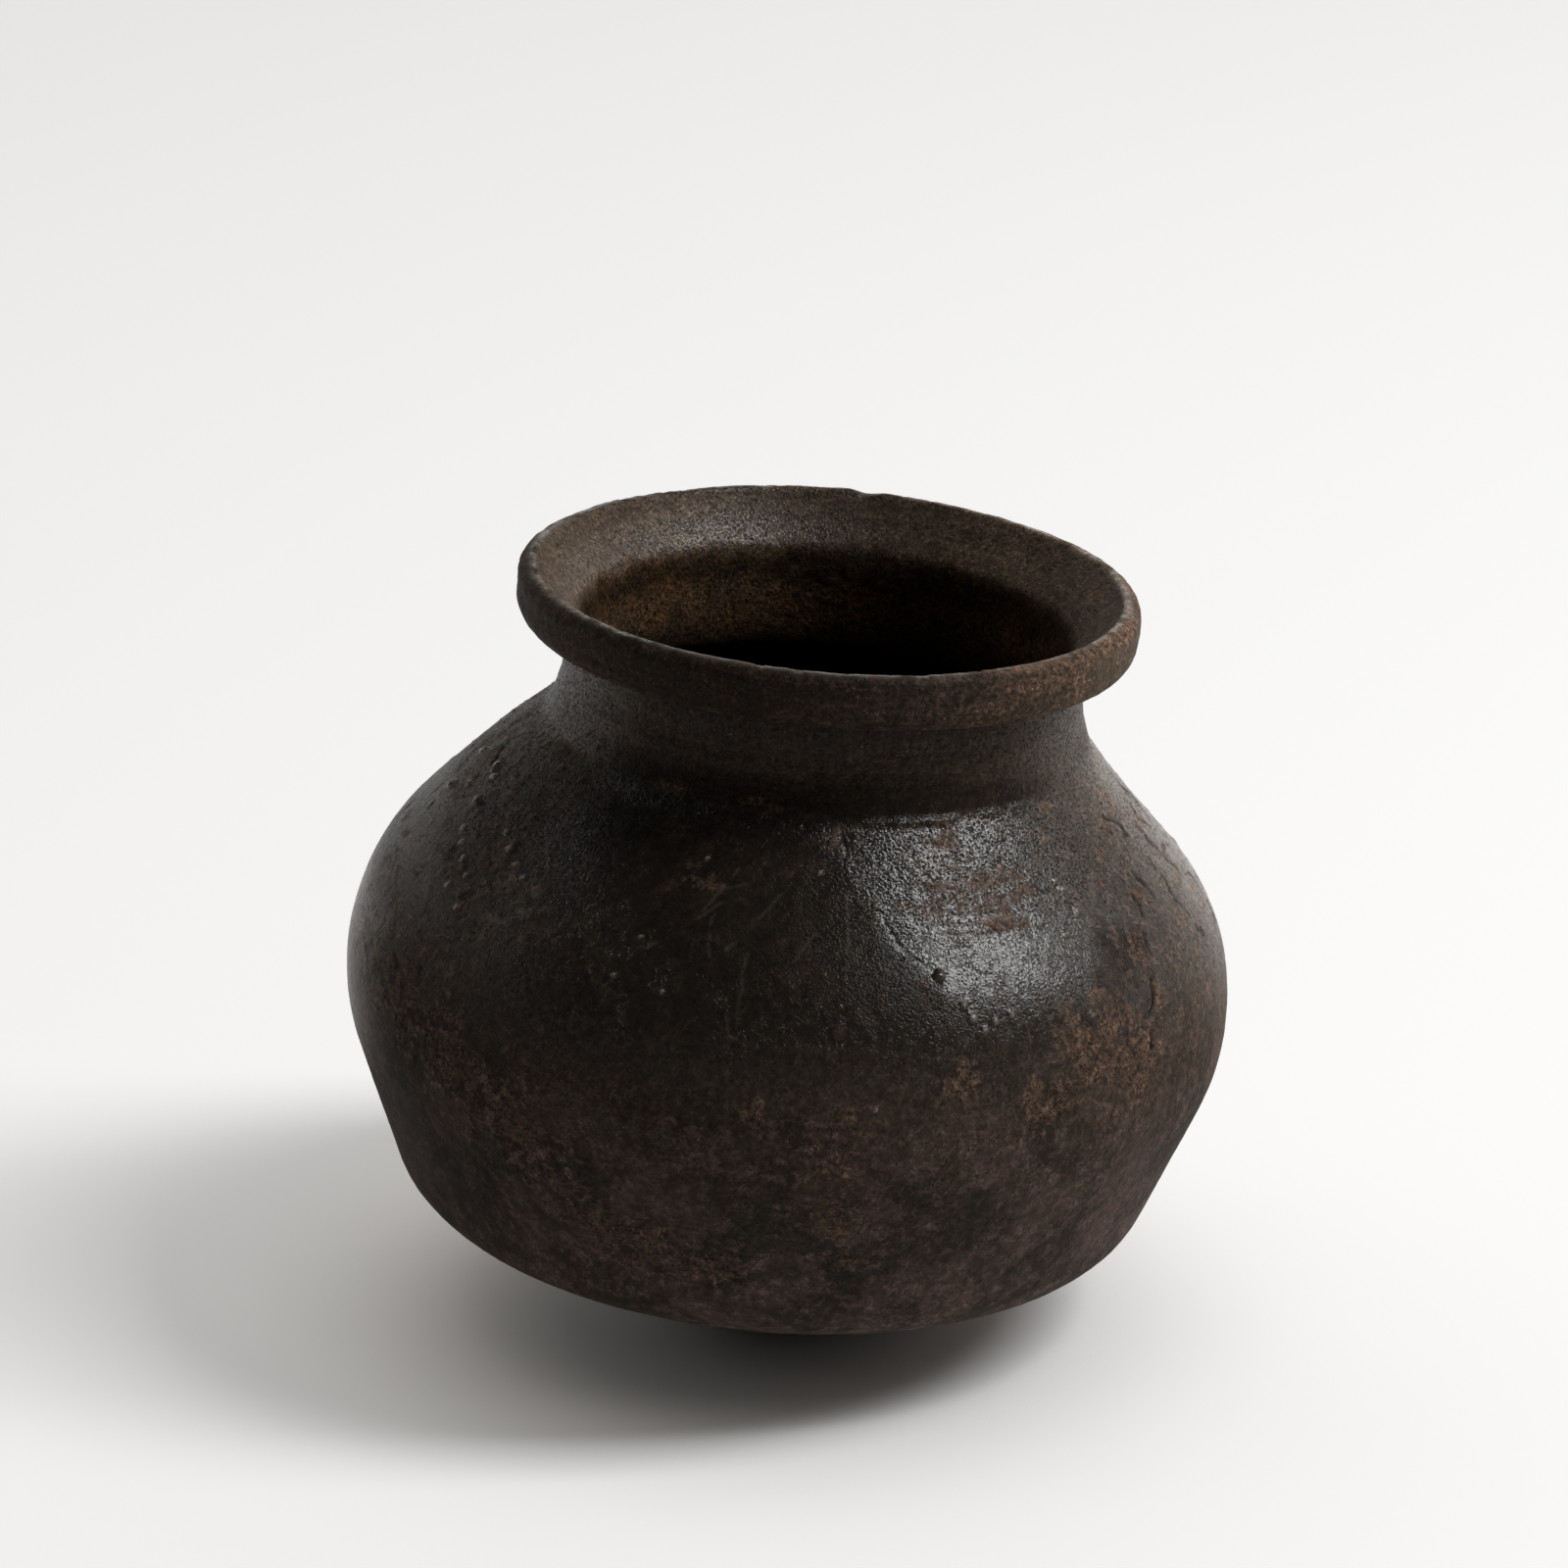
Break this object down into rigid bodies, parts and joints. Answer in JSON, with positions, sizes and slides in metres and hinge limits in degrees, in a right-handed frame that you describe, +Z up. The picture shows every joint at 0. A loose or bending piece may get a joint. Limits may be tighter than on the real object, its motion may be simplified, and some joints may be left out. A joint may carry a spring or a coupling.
{
  "type": "clay pot",
  "caption": "Round-bottomed dark clay pot with a sloping shoulder, a short hollow neck and a thick flared rim, luted from ring sections; holds water, grain or food.",
  "frame": {"origin": "centre of the worn flat on the round base that the pot rests on", "axes": "+Z up, square to the worn flat; +X the way the pot leans; the mouth opens towards +Z"},
  "size_m": [0.2595, 0.26, 0.2322],
  "materials": {
    "smoked_clay": "burnished low-fired clay, smoke-blackened, worn brown in patches, satin"
  },
  "bodies": {
    "root": {"base": "smoked_clay", "lower_wall": "smoked_clay", "shoulder": "smoked_clay", "neck": "smoked_clay", "rim": "smoked_clay"}
  },
  "joints": []
}
